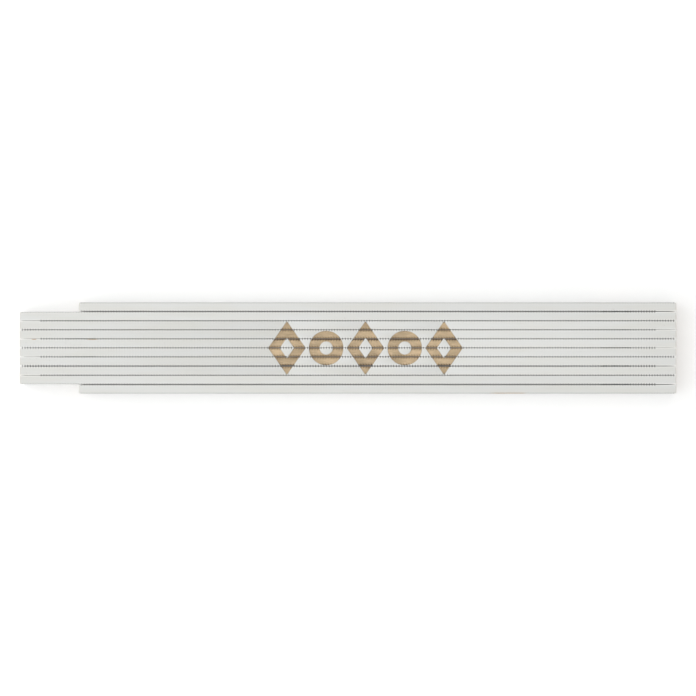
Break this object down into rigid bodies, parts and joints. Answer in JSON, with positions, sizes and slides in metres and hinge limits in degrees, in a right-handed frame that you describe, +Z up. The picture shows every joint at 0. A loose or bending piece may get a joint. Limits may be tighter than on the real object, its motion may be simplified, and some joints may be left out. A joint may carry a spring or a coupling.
{
  "type": "folding rule",
  "caption": "Wooden folding rule: white lacquered slats hinged end over end with sprung steel joints, shown folded on its long edges, with an ornament burned across them.",
  "frame": {"origin": "centre of the folded rule's resting face, under the middle of the stack of slats", "axes": "+X along the slats, +Y through the stack from the first slat to the last, +Z up the width of the slats"},
  "size_m": [0.244, 0.0338, 0.016],
  "materials": {
    "lacquered_wood": "satin white lacquer",
    "plate_steel": "zinc plated",
    "spring_steel": "blued and oiled",
    "rivet_steel": "nickel plated",
    "burned_wood": "bare and scorched",
    "black_ink": "matt printing ink",
    "red_ink": "matt printing ink"
  },
  "bodies": {
    "section_1": {"slat_1": "lacquered_wood", "fixing_rivets_1": "rivet_steel", "hinge_plate_1_front": "plate_steel", "detent_spring_1": "spring_steel", "pivot_rivet_1": "rivet_steel"},
    "section_2": {"slat_2": "lacquered_wood", "fixing_rivets_2": "rivet_steel", "hinge_plate_2_front": "plate_steel", "detent_spring_2": "spring_steel", "pivot_rivet_2": "rivet_steel", "hinge_plate_1_back": "plate_steel"},
    "section_3": {"slat_3": "lacquered_wood", "fixing_rivets_3": "rivet_steel", "hinge_plate_3_front": "plate_steel", "detent_spring_3": "spring_steel", "pivot_rivet_3": "rivet_steel", "hinge_plate_2_back": "plate_steel"},
    "section_4": {"slat_4": "lacquered_wood", "fixing_rivets_4": "rivet_steel", "hinge_plate_4_front": "plate_steel", "detent_spring_4": "spring_steel", "pivot_rivet_4": "rivet_steel", "hinge_plate_3_back": "plate_steel"},
    "section_5": {"slat_5": "lacquered_wood", "fixing_rivets_5": "rivet_steel", "hinge_plate_5_front": "plate_steel", "detent_spring_5": "spring_steel", "pivot_rivet_5": "rivet_steel", "hinge_plate_4_back": "plate_steel"},
    "section_6": {"slat_6": "lacquered_wood", "fixing_rivets_6": "rivet_steel", "hinge_plate_6_front": "plate_steel", "detent_spring_6": "spring_steel", "pivot_rivet_6": "rivet_steel", "hinge_plate_5_back": "plate_steel"},
    "section_7": {"slat_7": "lacquered_wood", "fixing_rivets_7": "rivet_steel", "hinge_plate_7_front": "plate_steel", "detent_spring_7": "spring_steel", "pivot_rivet_7": "rivet_steel", "hinge_plate_6_back": "plate_steel"},
    "section_8": {"slat_8": "lacquered_wood", "fixing_rivets_8": "rivet_steel", "hinge_plate_8_front": "plate_steel", "detent_spring_8": "spring_steel", "pivot_rivet_8": "rivet_steel", "hinge_plate_7_back": "plate_steel"},
    "section_9": {"slat_9": "lacquered_wood", "fixing_rivets_9": "rivet_steel", "hinge_plate_9_front": "plate_steel", "detent_spring_9": "spring_steel", "pivot_rivet_9": "rivet_steel", "hinge_plate_8_back": "plate_steel"},
    "section_10": {"slat_10": "lacquered_wood", "fixing_rivets_10": "rivet_steel", "hinge_plate_9_back": "plate_steel"}
  },
  "joints": [
    {"name": "joint_1", "type": "hinge", "parent": "section_1", "child": "section_2", "pos_m": [0.1, -0.01355, 0.008], "axis": [0, 1, 0], "range_deg": [-180, 180], "deforming": ["detent_spring_1"]},
    {"name": "joint_2", "type": "hinge", "parent": "section_2", "child": "section_3", "pos_m": [-0.1, -0.01013, 0.008], "axis": [0, -1, 0], "range_deg": [-180, 180], "deforming": ["detent_spring_2"]},
    {"name": "joint_3", "type": "hinge", "parent": "section_3", "child": "section_4", "pos_m": [0.1, -0.0067, 0.008], "axis": [0, 1, 0], "range_deg": [-180, 180], "deforming": ["detent_spring_3"]},
    {"name": "joint_4", "type": "hinge", "parent": "section_4", "child": "section_5", "pos_m": [-0.1, -0.00328, 0.008], "axis": [0, -1, 0], "range_deg": [-180, 180], "deforming": ["detent_spring_4"]},
    {"name": "joint_5", "type": "hinge", "parent": "section_5", "child": "section_6", "pos_m": [0.1, 0.00007, 0.008], "axis": [0, 1, 0], "range_deg": [-180, 180], "deforming": ["detent_spring_5"]},
    {"name": "joint_6", "type": "hinge", "parent": "section_6", "child": "section_7", "pos_m": [-0.1, 0.00343, 0.008], "axis": [0, -1, 0], "range_deg": [-180, 180], "deforming": ["detent_spring_6"]},
    {"name": "joint_7", "type": "hinge", "parent": "section_7", "child": "section_8", "pos_m": [0.1, 0.00677, 0.008], "axis": [0, 1, 0], "range_deg": [-180, 180], "deforming": ["detent_spring_7"]},
    {"name": "joint_8", "type": "hinge", "parent": "section_8", "child": "section_9", "pos_m": [-0.1, 0.01013, 0.008], "axis": [0, -1, 0], "range_deg": [-180, 180], "deforming": ["detent_spring_8"]},
    {"name": "joint_9", "type": "hinge", "parent": "section_9", "child": "section_10", "pos_m": [0.1, 0.01355, 0.008], "axis": [0, 1, 0], "range_deg": [-180, 180], "deforming": ["detent_spring_9"]}
  ]
}
